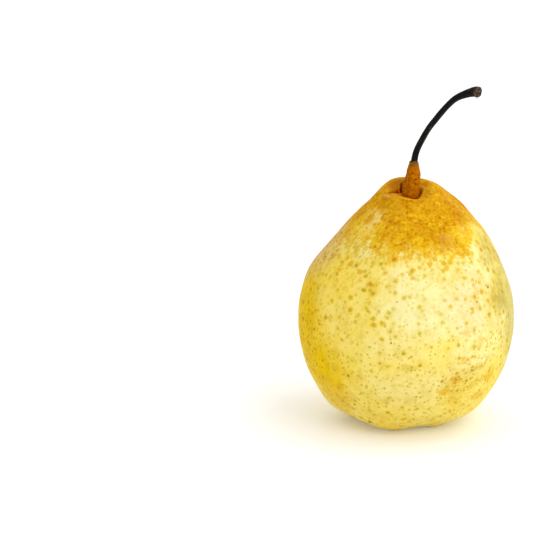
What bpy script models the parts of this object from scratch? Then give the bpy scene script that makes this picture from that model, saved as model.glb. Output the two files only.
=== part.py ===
"""A ripe nashi pear, standing on its blossom end.

Three pieces: the fruit with its skin, the woody stem and the dried calyx. Metres, +Z up. The origin is on the
surface that the pear stands on, under the middle of the fruit. +X is the side that the stem bends over to, and
-Y is the front, where the rim of the stem cavity is lowest.
"""

import math

import bmesh
import bpy
from mathutils import Vector, noise

MM = 0.001

# Driving dimensions
GREATEST_DIAMETER = 74.6 * MM
SHOULDER_HEIGHT = 80.8 * MM
SLEEVE_RISE = 9.7 * MM
STEM_DIAMETER = 2.2 * MM
STEM_FOOT_DIAMETER = 1.6 * MM
STEM_FOOT_DEPTH = 11.1 * MM
CALYX_DIAMETER = 6.6 * MM
CALYX_TOP = 8.9 * MM
GAP = 0.3 * MM

# How finely the pieces are made
FRUIT_STEPS = 64
CALYX_STEPS = 40
POINTS_PER_SPAN = 2
STEM_POINTS_PER_SPAN = 4
SHARP_EDGE = math.radians(50.0)

# The section of the fruit from the basin's floor, over the resting ring and up the flank to the shoulders, as
# shares of the greatest radius and of the shoulders' height
FLANK = (
    (0.097, 0.088),
    (0.161, 0.071),
    (0.231, 0.041),
    (0.300, 0.014),
    (0.381, 0.000),
    (0.480, 0.010),
    (0.595, 0.036),
    (0.718, 0.078),
    (0.840, 0.163),
    (0.938, 0.264),
    (0.991, 0.376),
    (1.000, 0.468),
    (0.976, 0.555),
    (0.903, 0.655),
    (0.769, 0.757),
    (0.611, 0.851),
    (0.464, 0.924),
    (0.357, 0.965),
    (0.273, 1.002),
    (0.209, 1.014),
)

# The section from the shoulders over the rim, down into the narrow cavity and up the fleshy sleeve round the
# stem's foot: radius, and height above the shoulders' height
CAVITY = (
    (6.0 * MM, 1.1 * MM),
    (4.8 * MM, 0.0 * MM),
    (4.1 * MM, -2.6 * MM),
    (3.75 * MM, -4.4 * MM),
    (3.4 * MM, -3.2 * MM),
    (3.1 * MM, -1.2 * MM),
    (2.75 * MM, 1.2 * MM),
    (2.4 * MM, 4.3 * MM),
    (2.1 * MM, 6.5 * MM),
    (1.65 * MM, 8.4 * MM),
    (1.35 * MM, 9.5 * MM),
)
SLEEVE_TOP = SHOULDER_HEIGHT + SLEEVE_RISE

# The blind socket that the stem's foot stands in, and the pocket in the basin's floor that holds the calyx
SOCKET_RADIUS = STEM_FOOT_DIAMETER / 2 + GAP
SOCKET_FLOOR = SLEEVE_TOP - STEM_FOOT_DEPTH - GAP
SOCKET_BEVEL = 0.1 * MM
SOCKET_BEVEL_DEPTH = 0.3 * MM
POCKET_RADIUS = CALYX_DIAMETER / 2 + GAP
POCKET_ROOF = CALYX_TOP + GAP

# Zones in which the grown fruit departs from a turned body. Each holds where a change starts and where it is
# full, as a height or as a distance from the axis.
LEAN_HEIGHTS = (50.0 * MM, 68.0 * MM)
TOP_HEIGHTS = (64.6 * MM, 75.1 * MM)
BASE_HEIGHTS = (2.0 * MM, 20.0 * MM)
SLEEVE_HEIGHTS = (SHOULDER_HEIGHT - 2.0 * MM, SHOULDER_HEIGHT + 7.5 * MM)
SKIN_RADII = (5.0 * MM, 18.0 * MM)
FOOT_RADII = (7.0 * MM, 15.0 * MM)
RIM_INNER_RADII = (3.7 * MM, 5.2 * MM)
RIM_OUTER_RADII = (8.0 * MM, 30.0 * MM)
BOWL_INNER_RADII = (3.8 * MM, 5.8 * MM)
BOWL_OUTER_RADII = (5.0 * MM, 17.0 * MM)
BASE_RADII = (6.0 * MM, 14.0 * MM)
HIGH_LOBE_RADII = (12.0 * MM, 20.0 * MM)

# The top leans over to +X, but the foot and the mouth of the sleeve lie a little back from that
TOP_LEAN = 2.05 * MM
FOOT_SHIFT = -1.1 * MM
MOUTH_SHIFT = -0.6 * MM

# The rim is low in front, with a notch, and the cavity is wider at -X
RIM_TILT = 2.0 * MM
RIM_TURN = math.radians(-3.0)
RIM_NOTCH = 0.7 * MM
NOTCH_ANGLE = math.radians(-78.0)
NOTCH_WIDTH = math.radians(32.0)
BOWL_STRETCH = 2.0 * MM
BOWL_ANGLE = math.radians(145.0)
BOWL_WIDTH = math.radians(115.0)

# Five broad ribs run from the base to the shoulders, over a slightly three-sided and uneven body
RIB_COUNT = 5
RIB_TURN = math.radians(-112.0)
BELLY_RIB = 0.25 * MM
SHOULDER_RIB = 0.5 * MM
SHOULDER_RIB_HEIGHT = 0.85 * SHOULDER_HEIGHT
SHOULDER_RIB_REACH = 22.0 * MM
THREE_SIDED = 0.3 * MM
THREE_SIDED_TURN = math.radians(40.0)
SWELL = 0.4 * MM
SWELL_SIZE = 26.0 * MM

# Under the fruit each rib ends in a low lobe. The lobes get lower towards the back left, and the one at the front
# right stays clear of the surface that the others stand on.
BASE_RIB = 0.5 * MM
BASE_TILT = 0.15 * MM
BASE_TILT_TURN = math.radians(-35.0)
HIGH_LOBE_RISE = 1.3 * MM
HIGH_LOBE_ANGLE = math.radians(-57.0)
HIGH_LOBE_WIDTH = math.radians(80.0)

# The stem's middle line above its socket, as it stands to the middle of the sleeve's mouth in millimetres, and
# its diameter there as a share of STEM_DIAMETER
STEM_LINE = (
    ((1.0, -0.1, 4.4), 0.94),
    ((4.1, -0.3, 10.6), 0.92),
    ((8.3, -0.8, 16.6), 0.94),
    ((12.4, -1.7, 21.4), 1.00),
    ((15.8, -2.6, 23.9), 1.10),
    ((19.5, -3.6, 25.4), 1.42),
    ((21.9, -4.2, 25.7), 1.46),
)
STEM_FOOT_TOP = -0.1 * MM

# The calyx: radius and height down its turned section, and how its rim is cut into sepals
CALYX_SECTION = (
    (0.0 * MM, 8.9 * MM),
    (3.0 * MM, 8.9 * MM),
    (3.3 * MM, 8.2 * MM),
    (3.2 * MM, 6.8 * MM),
    (2.7 * MM, 5.4 * MM),
    (2.2 * MM, 5.1 * MM),
    (1.9 * MM, 6.2 * MM),
    (1.0 * MM, 7.0 * MM),
    (0.5 * MM, 6.2 * MM),
    (0.0 * MM, 6.1 * MM),
)
SEPAL_COUNT = 5
SEPAL_CUT = 1.1 * MM
SEPAL_HEIGHTS = (7.2 * MM, 5.1 * MM)
SEPAL_RADII = (0.8 * MM, 1.8 * MM)

SKIN_COLOUR = (0.80, 0.66, 0.22, 1.0)
BARK_COLOUR = (0.030, 0.024, 0.018, 1.0)
CALYX_COLOUR = (0.090, 0.050, 0.022, 1.0)


def clear_scene():
    for thing in list(bpy.data.objects):
        bpy.data.objects.remove(thing)


def surface(name, colour, roughness):
    """A material with one colour and roughness."""
    made = bpy.data.materials.new(name)
    made.use_nodes = True
    shader = made.node_tree.nodes["Principled BSDF"]
    shader.inputs["Base Color"].default_value = colour
    shader.inputs["Roughness"].default_value = roughness
    shader.inputs["Metallic"].default_value = 0.0
    return made


def ramp(start, end, value):
    """0 before the start, 1 past the end, and a smooth rise between them."""
    share = min(max((value - start) / (end - start), 0.0), 1.0)
    return share * share * (3.0 - 2.0 * share)


def hump(middle, reach, value):
    """1 at the middle, falling smoothly to 0 at its reach on both sides."""
    share = min(abs(value - middle) / reach, 1.0)
    return (1.0 - share * share) ** 2


def angle_between(angle, other):
    """How far one angle is from another, from 0 to half a turn."""
    return abs((angle - other + math.pi) % (2.0 * math.pi) - math.pi)


def smooth_line(points, per_span):
    """Points on one smooth curve through the given ones, per_span of them for each stretch between two."""
    points = [Vector(p) for p in points]
    ends = [2.0 * points[0] - points[1], *points, 2.0 * points[-1] - points[-2]]
    line = []
    for before, start, end, after in zip(ends, ends[1:], ends[2:], ends[3:]):
        for step in range(per_span):
            t = step / per_span
            line.append(
                0.5
                * (
                    2.0 * start
                    + (end - before) * t
                    + (2.0 * before - 5.0 * start + 4.0 * end - after) * t**2
                    + (3.0 * start - before - 3.0 * end + after) * t**3
                )
            )
    return [*line, points[-1]]


def fruit_section():
    """The turned section of the fruit, from the roof of the calyx pocket out, up and into the stem's socket."""
    greatest_radius = GREATEST_DIAMETER / 2
    flank = [(r * greatest_radius, h * SHOULDER_HEIGHT) for r, h in FLANK]
    cavity = [(r, SHOULDER_HEIGHT + rise) for r, rise in CAVITY]
    skin = smooth_line([*flank, *cavity], POINTS_PER_SPAN)
    pocket = [Vector((0.0, POCKET_ROOF)), Vector((POCKET_RADIUS, POCKET_ROOF))]
    socket = [
        Vector((SOCKET_RADIUS + SOCKET_BEVEL, SLEEVE_TOP)),
        Vector((SOCKET_RADIUS, SLEEVE_TOP - SOCKET_BEVEL_DEPTH)),
        Vector((SOCKET_RADIUS, SOCKET_FLOOR)),
        Vector((0.0, SOCKET_FLOOR)),
    ]
    return [*pocket, *skin, *socket]


def turned(section, steps):
    """A closed body turned round the Z axis from a section that starts and ends on it."""
    mesh = bmesh.new()
    line = [mesh.verts.new((radius, 0.0, height)) for radius, height in section]
    edges = [mesh.edges.new(pair) for pair in zip(line, line[1:])]
    bmesh.ops.spin(
        mesh,
        geom=line + edges,
        cent=(0.0, 0.0, 0.0),
        axis=(0.0, 0.0, 1.0),
        angle=2.0 * math.pi,
        steps=steps,
        use_merge=True,
    )
    bmesh.ops.remove_doubles(mesh, verts=mesh.verts, dist=0.001 * MM)
    bmesh.ops.recalc_face_normals(mesh, faces=mesh.faces)
    return mesh


def grown(point):
    """Where a point of the turned fruit lies on the real one, which is ribbed, leaning and uneven."""
    radius, angle, height = point.xy.length, math.atan2(point.y, point.x), point.z
    outwards = Vector((math.cos(angle), math.sin(angle), 0.0))
    on_top = ramp(*TOP_HEIGHTS, height)
    at_base = 1.0 - ramp(*BASE_HEIGHTS, height)
    ribs = math.cos(RIB_COUNT * (angle - RIB_TURN))
    moved = point.copy()

    on_shoulders = hump(SHOULDER_RIB_HEIGHT, SHOULDER_RIB_REACH, height)
    rib_depth = BELLY_RIB + (SHOULDER_RIB - BELLY_RIB) * on_shoulders
    three_sided = THREE_SIDED * math.cos(3.0 * (angle - THREE_SIDED_TURN))
    swell = SWELL * noise.noise(point / SWELL_SIZE)
    moved += outwards * (rib_depth * ribs + three_sided + swell) * ramp(*SKIN_RADII, radius)

    in_socket = radius <= SOCKET_RADIUS + SOCKET_BEVEL
    up_sleeve = 1.0 if in_socket else ramp(*SLEEVE_HEIGHTS, height)
    moved.x += TOP_LEAN * ramp(*LEAN_HEIGHTS, height)
    middle_shift = FOOT_SHIFT + (MOUTH_SHIFT - FOOT_SHIFT) * up_sleeve
    moved.x += middle_shift * on_top * (1.0 - ramp(*FOOT_RADII, radius))

    on_rim = on_top * ramp(*RIM_INNER_RADII, radius) * (1.0 - ramp(*RIM_OUTER_RADII, radius))
    notch = RIM_NOTCH * hump(0.0, NOTCH_WIDTH, angle_between(angle, NOTCH_ANGLE))
    moved.z += (RIM_TILT * math.sin(angle - RIM_TURN) - notch) * on_rim
    in_bowl = on_top * ramp(*BOWL_INNER_RADII, radius) * (1.0 - ramp(*BOWL_OUTER_RADII, radius))
    wider = BOWL_STRETCH * hump(0.0, BOWL_WIDTH, angle_between(angle, BOWL_ANGLE))
    moved += outwards * wider * in_bowl

    lobe_rise = BASE_TILT * math.cos(angle - BASE_TILT_TURN) - BASE_RIB * ribs
    moved.z += lobe_rise * at_base * ramp(*BASE_RADII, radius)
    on_high_lobe = hump(0.0, HIGH_LOBE_WIDTH, angle_between(angle, HIGH_LOBE_ANGLE))
    moved.z += HIGH_LOBE_RISE * on_high_lobe * at_base * ramp(*HIGH_LOBE_RADII, radius)
    if at_base > 0.0:
        moved.z = max(moved.z, 0.0)
    return moved


def named_object(name, data, material):
    made = bpy.data.objects.new(name, data)
    data.materials.append(material)
    bpy.context.scene.collection.objects.link(made)
    return made


def mesh_object(name, mesh, material):
    """An object that holds this bmesh, shaded smooth except over sharp edges."""
    data = bpy.data.meshes.new(name)
    mesh.to_mesh(data)
    mesh.free()
    data.shade_smooth()
    data.set_sharp_from_angle(angle=SHARP_EDGE)
    return named_object(name, data, material)


def make_fruit():
    """The flesh and skin in one body, with the stem's socket, the calyx basin and a flat spot on each lobe."""
    mesh = turned(fruit_section(), FRUIT_STEPS)
    for vert in mesh.verts:
        vert.co = grown(vert.co)
    return mesh_object("fruit", mesh, surface("skin", SKIN_COLOUR, 0.42))


def stem_line():
    """Points up the middle of the stem, each with the diameter there as a share of STEM_DIAMETER."""
    mouth = Vector((TOP_LEAN + MOUTH_SHIFT, 0.0, SLEEVE_TOP))
    foot = STEM_FOOT_DIAMETER / STEM_DIAMETER
    foot_middle = (STEM_FOOT_TOP - STEM_FOOT_DEPTH) / 2
    foot_points = [(0.0, 0.0, height, foot) for height in (-STEM_FOOT_DEPTH, foot_middle, STEM_FOOT_TOP)]
    bent_points = [(x * MM, y * MM, z * MM, share) for (x, y, z), share in STEM_LINE]
    line = smooth_line(foot_points + bent_points, STEM_POINTS_PER_SPAN)
    return [(mouth + Vector((x, y, z)), share) for x, y, z, share in line]


def make_stem():
    """The stalk: bent over, with a thicker cut end, its thin foot standing in the socket."""
    line = stem_line()
    data = bpy.data.curves.new("stem", "CURVE")
    data.dimensions = "3D"
    data.bevel_depth = STEM_DIAMETER / 2
    data.bevel_resolution = 4
    data.use_fill_caps = True
    spline = data.splines.new("POLY")
    spline.points.add(len(line) - 1)
    for point, (place, share) in zip(spline.points, line):
        point.co = (*place, 1.0)
        point.radius = share
    spline.use_smooth = True
    return named_object("stem", data, surface("bark", BARK_COLOUR, 0.6))


def make_calyx():
    """The dried flower: a corky ring whose rim is cut into five withered sepals, round the stub of the style."""
    mesh = turned(CALYX_SECTION, CALYX_STEPS)
    for vert in mesh.verts:
        angle = math.atan2(vert.co.y, vert.co.x)
        between_sepals = 0.5 - 0.5 * math.cos(SEPAL_COUNT * angle)
        on_sepals = ramp(*SEPAL_HEIGHTS, vert.co.z) * ramp(*SEPAL_RADII, vert.co.xy.length)
        vert.co.z += SEPAL_CUT * between_sepals * on_sepals
    return mesh_object("calyx", mesh, surface("calyx", CALYX_COLOUR, 0.85))


def main():
    clear_scene()
    make_fruit()
    make_stem()
    make_calyx()


main()
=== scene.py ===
"""The looks of a ripe nashi pear: dotted yellow skin with russet shoulders, a black bent stem and a dried calyx.

Lengths in the shape tables are millimetres, and so is the place that the patterns read. -Y is the front.
"""

import math

import bmesh
import bpy
from mathutils import Euler, Matrix, Vector, noise


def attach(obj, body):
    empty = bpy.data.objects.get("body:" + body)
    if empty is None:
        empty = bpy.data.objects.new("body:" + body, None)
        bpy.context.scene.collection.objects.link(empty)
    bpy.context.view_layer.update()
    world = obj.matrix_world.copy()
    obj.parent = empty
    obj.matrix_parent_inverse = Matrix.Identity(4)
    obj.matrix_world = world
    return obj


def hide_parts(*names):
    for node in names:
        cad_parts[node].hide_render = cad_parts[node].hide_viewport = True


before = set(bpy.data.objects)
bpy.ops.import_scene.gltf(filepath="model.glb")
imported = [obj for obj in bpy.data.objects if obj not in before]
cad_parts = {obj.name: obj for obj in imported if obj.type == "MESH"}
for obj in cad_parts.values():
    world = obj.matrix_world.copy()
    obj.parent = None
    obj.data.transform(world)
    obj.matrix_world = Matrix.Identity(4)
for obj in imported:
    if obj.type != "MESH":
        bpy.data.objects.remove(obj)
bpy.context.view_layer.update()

MM = 0.001

# The fruit's driving sizes, as the solids have them
GREATEST_RADIUS = 37.3
SHOULDER_HEIGHT = 80.8
SLEEVE_TOP = 90.5

# How finely the pieces are made
SKIN_STEPS = 288
SKIN_POINTS_PER_SPAN = 7
STEM_STEPS = 56
STEM_POINTS_PER_SPAN = 22
CALYX_STEPS = 96

# The section of the fruit from the basin's floor up to the shoulders, as shares of the greatest radius and of the
# shoulders' height
FLANK = (
    (0.097, 0.088),
    (0.161, 0.071),
    (0.231, 0.041),
    (0.300, 0.014),
    (0.381, 0.000),
    (0.480, 0.010),
    (0.595, 0.036),
    (0.718, 0.078),
    (0.840, 0.163),
    (0.938, 0.264),
    (0.991, 0.376),
    (1.000, 0.468),
    (0.976, 0.555),
    (0.903, 0.655),
    (0.769, 0.757),
    (0.611, 0.851),
    (0.464, 0.924),
    (0.357, 0.965),
    (0.273, 1.002),
    (0.209, 1.014),
)

# The basin's floor round the calyx, before the flank: radius and height
BASIN = ((0.0, 9.1), (2.2, 9.0), (3.1, 8.5), (3.45, 7.8))

# The section over the rim, down into the cavity and up the fleshy sleeve until it closes on the stem: radius, and
# height above the shoulders' height
CAVITY = (
    (6.2, 0.9),
    (5.2, 0.45),
    (4.35, -0.3),
    (3.70, -1.3),
    (3.50, -2.2),
    (3.36, -1.6),
    (3.16, 0.2),
    (2.92, 1.9),
    (2.70, 3.5),
    (2.45, 5.2),
    (2.20, 7.0),
    (1.86, 8.5),
    (1.62, 9.5),
    (1.40, 10.15),
    (1.12, 10.1),
    (0.98, 9.4),
)
COLLAR_FLOOR = 88.6

# Zones in which the grown fruit departs from a turned body: where each change starts and where it is full
LEAN_HEIGHTS = (50.0, 68.0)
TOP_HEIGHTS = (64.6, 75.1)
BASE_HEIGHTS = (2.0, 20.0)
SLEEVE_HEIGHTS = (SHOULDER_HEIGHT - 2.0, SHOULDER_HEIGHT + 7.5)
SKIN_RADII = (5.0, 18.0)
FOOT_RADII = (7.0, 15.0)
RIM_INNER_RADII = (3.65, 5.2)
RIM_FUNNEL_REACH = 3.4
RIM_FUNNEL_ANGLE = math.radians(110.0)
RIM_FUNNEL_WIDTH = math.radians(170.0)
RIM_OUTER_RADII = (8.0, 30.0)
BOWL_INNER_RADII = (4.3, 7.0)
BOWL_OUTER_RADII = (8.0, 18.0)
BASE_RADII = (6.0, 14.0)
HIGH_LOBE_RADII = (12.0, 20.0)

TOP_LEAN = 2.05
FOOT_SHIFT = -1.65
MOUTH_SHIFT = -0.6
RIM_TILT = 2.0
RIM_TURN = math.radians(-3.0)
RIM_NOTCH = 0.7
NOTCH_ANGLE = math.radians(-78.0)
NOTCH_WIDTH = math.radians(32.0)
BOWL_STRETCH = 0.6
BOWL_ANGLE = math.radians(175.0)
BOWL_WIDTH = math.radians(95.0)
LOBE_RISE = 0.9
LOBE_ANGLE = math.radians(160.0)
LOBE_WIDTH = math.radians(70.0)
LOBE_INNER_RADII = (3.6, 4.2)
LOBE_OUTER_RADII = (4.6, 7.5)
LOBE_CLOSING = 0.75
LOBE_CLOSING_ANGLE = math.radians(182.0)
LOBE_CLOSING_WIDTH = math.radians(62.0)
FRONT_DROP = 1.3
FRONT_DROP_REACH = 7.0
FRONT_DROP_ANGLE = math.radians(-80.0)
FRONT_DROP_WIDTH = math.radians(95.0)
CREASE_LIFT = 1.0
CREASE_LIFT_LEFT = 1.5
CREASE_LIFT_RADII = (3.3, 3.5, 5.6)
RIB_COUNT = 5
RIB_TURN = math.radians(-112.0)
BELLY_RIB = 0.25
SHOULDER_RIB = 0.5
SHOULDER_RIB_HEIGHT = 0.85 * SHOULDER_HEIGHT
SHOULDER_RIB_REACH = 22.0
THREE_SIDED = 0.3
THREE_SIDED_TURN = math.radians(40.0)
SWELL = 0.4
SWELL_SIZE = 26.0
BASE_RIB = 0.5
BASE_TILT = 0.15
BASE_TILT_TURN = math.radians(-35.0)
HIGH_LOBE_RISE = 1.3
HIGH_LOBE_ANGLE = math.radians(-57.0)
HIGH_LOBE_WIDTH = math.radians(80.0)

# How far the stem's end is cut back on its front side, and how far that reaches along the stem
CUT_SLANT = 2.0
CUT_REACH = 4.2

# The stem's middle line as it stands to the middle of the sleeve's mouth, and its radius there
STEM_RADIUS = 1.1
STEM_LINE = (
    ((0.0, 0.0, -9.0), 0.70),
    ((0.0, 0.0, -4.0), 0.78),
    ((0.15, 0.0, 0.0), 1.04),
    ((1.05, -0.1, 4.4), 0.97),
    ((4.1, -0.3, 10.6), 0.92),
    ((8.3, -0.8, 16.6), 0.94),
    ((12.4, -1.7, 21.4), 1.00),
    ((15.8, -2.6, 23.7), 1.12),
    ((19.5, -3.6, 25.0), 1.40),
    ((21.7, -4.2, 25.0), 1.64),
)


def ramp(start, end, value):
    """0 before the start, 1 past the end, and a smooth rise between them."""
    share = min(max((value - start) / (end - start), 0.0), 1.0)
    return share * share * (3.0 - 2.0 * share)


def hump(middle, reach, value):
    """1 at the middle, falling smoothly to 0 at its reach on both sides."""
    share = min(abs(value - middle) / reach, 1.0)
    return (1.0 - share * share) ** 2


def angle_between(angle, other):
    return abs((angle - other + math.pi) % (2.0 * math.pi) - math.pi)


def smooth_line(points, per_span):
    """Points on one smooth curve through the given ones, per_span of them for each stretch between two."""
    points = [Vector(p) for p in points]
    ends = [2.0 * points[0] - points[1], *points, 2.0 * points[-1] - points[-2]]
    line = []
    for before, start, end, after in zip(ends, ends[1:], ends[2:], ends[3:]):
        for step in range(per_span):
            t = step / per_span
            line.append(
                0.5
                * (
                    2.0 * start
                    + (end - before) * t
                    + (2.0 * before - 5.0 * start + 4.0 * end - after) * t**2
                    + (3.0 * start - before - 3.0 * end + after) * t**3
                )
            )
    return [*line, points[-1]]


def fruit_section():
    """The turned section of the skin, from under the calyx out, up and over, and up the sleeve to the stem."""
    flank = [(r * GREATEST_RADIUS, h * SHOULDER_HEIGHT) for r, h in FLANK]
    cavity = [(r, SHOULDER_HEIGHT + rise) for r, rise in CAVITY]
    line = smooth_line([*BASIN, *flank, *cavity], SKIN_POINTS_PER_SPAN)
    line[0].x = 0.0
    return [*line, Vector((0.0, COLLAR_FLOOR))]


def turned(section, steps):
    """A closed body turned round the Z axis from a section that starts and ends on it."""
    mesh = bmesh.new()
    line = [mesh.verts.new((max(radius, 0.0), 0.0, height)) for radius, height in section]
    edges = [mesh.edges.new(pair) for pair in zip(line, line[1:])]
    bmesh.ops.spin(
        mesh,
        geom=line + edges,
        cent=(0.0, 0.0, 0.0),
        axis=(0.0, 0.0, 1.0),
        angle=2.0 * math.pi,
        steps=steps,
        use_merge=True,
    )
    bmesh.ops.remove_doubles(mesh, verts=mesh.verts, dist=0.001)
    bmesh.ops.recalc_face_normals(mesh, faces=mesh.faces)
    return mesh


def grown(point):
    """Where a point of the turned fruit lies on the real one, which is ribbed, leaning and uneven."""
    radius, angle, height = point.xy.length, math.atan2(point.y, point.x), point.z
    outwards = Vector((math.cos(angle), math.sin(angle), 0.0))
    on_top = ramp(*TOP_HEIGHTS, height)
    at_base = 1.0 - ramp(*BASE_HEIGHTS, height)
    ribs = math.cos(RIB_COUNT * (angle - RIB_TURN))
    moved = point.copy()

    on_shoulders = hump(SHOULDER_RIB_HEIGHT, SHOULDER_RIB_REACH, height)
    rib_depth = BELLY_RIB + (SHOULDER_RIB - BELLY_RIB) * on_shoulders
    three_sided = THREE_SIDED * math.cos(3.0 * (angle - THREE_SIDED_TURN))
    swell = SWELL * noise.noise(point / SWELL_SIZE)
    moved += outwards * (rib_depth * ribs + three_sided + swell) * ramp(*SKIN_RADII, radius)

    in_collar = radius < 1.3 and height > SHOULDER_HEIGHT
    up_sleeve = 1.0 if in_collar else ramp(*SLEEVE_HEIGHTS, height)
    moved.x += TOP_LEAN * ramp(*LEAN_HEIGHTS, height)
    middle_shift = FOOT_SHIFT + (MOUTH_SHIFT - FOOT_SHIFT) * up_sleeve
    moved.x += middle_shift * on_top * (1.0 - ramp(*FOOT_RADII, radius))

    funnel = RIM_FUNNEL_REACH * hump(0.0, RIM_FUNNEL_WIDTH, angle_between(angle, RIM_FUNNEL_ANGLE))
    rim_rise = 0.0
    if radius > RIM_INNER_RADII[0] - 0.1:
        rim_rise = ramp(RIM_INNER_RADII[0] - 0.3 * funnel, RIM_INNER_RADII[1] + funnel, radius)
    on_rim = on_top * rim_rise * (1.0 - ramp(*RIM_OUTER_RADII, radius))
    notch = RIM_NOTCH * hump(0.0, NOTCH_WIDTH, angle_between(angle, NOTCH_ANGLE))
    moved.z += (RIM_TILT * math.sin(angle - RIM_TURN) - notch) * on_rim
    in_bowl = on_top * ramp(*BOWL_INNER_RADII, radius) * (1.0 - ramp(*BOWL_OUTER_RADII, radius))
    wider = BOWL_STRETCH * hump(0.0, BOWL_WIDTH, angle_between(angle, BOWL_ANGLE))
    moved += outwards * wider * in_bowl
    closing = LOBE_CLOSING * hump(0.0, LOBE_CLOSING_WIDTH, angle_between(angle, LOBE_CLOSING_ANGLE))
    moved -= outwards * closing * on_top * hump(4.5, 1.0, radius)
    inner, middle, outer = CREASE_LIFT_RADII
    by_crease = on_top * ramp(inner, middle, radius) * (1.0 - ramp(middle, outer, radius))
    lift = CREASE_LIFT * ramp(math.radians(35.0), math.radians(80.0), angle_between(angle, math.radians(-90.0)))
    lift += CREASE_LIFT_LEFT * hump(0.0, math.radians(75.0), angle_between(angle, math.radians(155.0)))
    moved.z += lift * by_crease
    by_front = on_top * ramp(inner, middle, radius) * (1.0 - ramp(middle, FRONT_DROP_REACH, radius))
    in_front = hump(0.0, FRONT_DROP_WIDTH, angle_between(angle, FRONT_DROP_ANGLE))
    moved.z -= FRONT_DROP * in_front * by_front
    in_lobe = on_top * ramp(*LOBE_INNER_RADII, radius) * (1.0 - ramp(*LOBE_OUTER_RADII, radius))
    moved.z += LOBE_RISE * hump(0.0, LOBE_WIDTH, angle_between(angle, LOBE_ANGLE)) * in_lobe

    lobe_rise = BASE_TILT * math.cos(angle - BASE_TILT_TURN) - BASE_RIB * ribs
    moved.z += lobe_rise * at_base * ramp(*BASE_RADII, radius)
    on_high_lobe = hump(0.0, HIGH_LOBE_WIDTH, angle_between(angle, HIGH_LOBE_ANGLE))
    moved.z += HIGH_LOBE_RISE * on_high_lobe * at_base * ramp(*HIGH_LOBE_RADII, radius)
    return moved


# Small forms of the skin. A puff is a swelling and a dent a hollow: where it is, how far it reaches and how high
# it stands.
PUFFS = (
    ((-1.1, -0.6, 87.6), (1.3, 2.2, 2.2), 0.26),
    ((3.4, -0.9, 86.6), (1.2, 1.8, 2.4), 0.10),
    ((1.8, -2.2, 84.6), (1.2, 1.2, 1.8), 0.22),
    ((6.6, -1.0, 82.0), (3.0, 4.0, 3.0), 0.30),
    ((-4.0, 5.5, 84.0), (6.5, 6.0, 4.0), 0.60),
    ((-12.0, 0.4, 78.2), (4.6, 6.0, 4.0), 0.50),
    ((-8.5, -7.5, 79.5), (6.0, 5.0, 4.0), 0.22),
    ((-13.2, -20.6, 3.6), (1.3, 3.2, 2.6), -1.05),
    ((-17.0, -19.2, 5.0), (4.0, 4.0, 4.0), 0.30),
    ((-8.6, -20.6, 3.0), (5.0, 5.0, 3.5), 0.30),
    ((14.0, -18.0, 72.0), (7.0, 7.0, 6.0), 0.18),
    ((-20.0, -6.0, 69.0), (6.0, 8.0, 6.0), -0.22),
    ((24.5, -26.0, 46.0), (5.0, 5.0, 9.0), -0.20),
    ((17.0, -30.0, 20.0), (8.0, 6.0, 6.0), -0.22),
)
CREASE_RADIUS = 3.50
FOLD_ANGLE = math.radians(189.0)
FOLD_WIDTH = math.radians(9.0)
FOLD_DEPTH = 0.40
FURROW_ANGLE = math.radians(204.0)
FURROW_WIDTH = 1.0
FURROW_DEPTH = 1.15
LIP_HEIGHT = 0.15
FINE_SWELLS = ((7.5, 0.13), (3.2, 0.05), (1.3, 0.016))
SLEEVE_FOLDS = 7
SLEEVE_FOLD_DEPTH = 0.07
COLLAR_RAGGED = 0.35


def in_fold(reference):
    """1 in the fold that runs up the sleeve's left side, 0 away from it."""
    if reference.xy.length > CREASE_RADIUS:
        return 0.0
    angle = math.atan2(reference.y, reference.x)
    rise = reference.z - SHOULDER_HEIGHT
    up = ramp(-3.0, -2.0, rise) * (1.0 - ramp(1.6, 4.2, rise))
    return up * hump(0.0, FOLD_WIDTH, angle_between(angle, FOLD_ANGLE))


def beside_furrow(reference):
    """How far a place on the cavity's left lip lies in front of the furrow behind it, and how much it counts."""
    radius, angle = reference.xy.length, math.atan2(reference.y, reference.x)
    turn = (angle - FURROW_ANGLE + math.pi) % (2.0 * math.pi) - math.pi
    if reference.z < SHOULDER_HEIGHT - 6.0 or abs(turn) > 1.2:
        return 0.0, 0.0
    return radius * math.sin(turn), ramp(3.4, 4.2, radius) * (1.0 - ramp(6.0, 10.5, radius))


def small_forms(place, reference):
    """How far the skin at a place swells out, with its puffs, dents, fine swells and the sleeve's folds."""
    rise = 0.0
    for middle, reach, height in PUFFS:
        away = Vector([(p - m) / r for p, m, r in zip(place, middle, reach)]).length
        rise += height * hump(0.0, 1.0, away)
    skin = ramp(3.0, 6.0, reference.xy.length)
    for size, height in FINE_SWELLS:
        rise += height * noise.noise(place / size) * (0.35 + 0.65 * skin)
    rise -= FOLD_DEPTH * in_fold(reference)
    in_front, counts = beside_furrow(reference)
    rise -= FURROW_DEPTH * counts * hump(0.0, FURROW_WIDTH, in_front)
    rise += LIP_HEIGHT * counts * hump(1.5, 1.4, in_front)
    if reference.z > SHOULDER_HEIGHT - 4.0 and reference.xy.length < CREASE_RADIUS:
        angle = math.atan2(reference.y, reference.x)
        wander = 1.6 * noise.noise(Vector((0.0, 0.0, reference.z / 4.0)))
        folds = math.cos(SLEEVE_FOLDS * angle + wander)
        rise += SLEEVE_FOLD_DEPTH * folds
        rise += 0.22 * noise.noise(Vector((place.x / 1.3, place.y / 1.3, place.z / 1.9)))
        rise += 0.10 * noise.noise(Vector((place.x / 0.5, place.y / 0.5, place.z / 0.7)))
    return rise


def named_object(name, data, material):
    made = bpy.data.objects.new(name, data)
    data.materials.append(material)
    bpy.context.scene.collection.objects.link(made)
    return made


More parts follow.
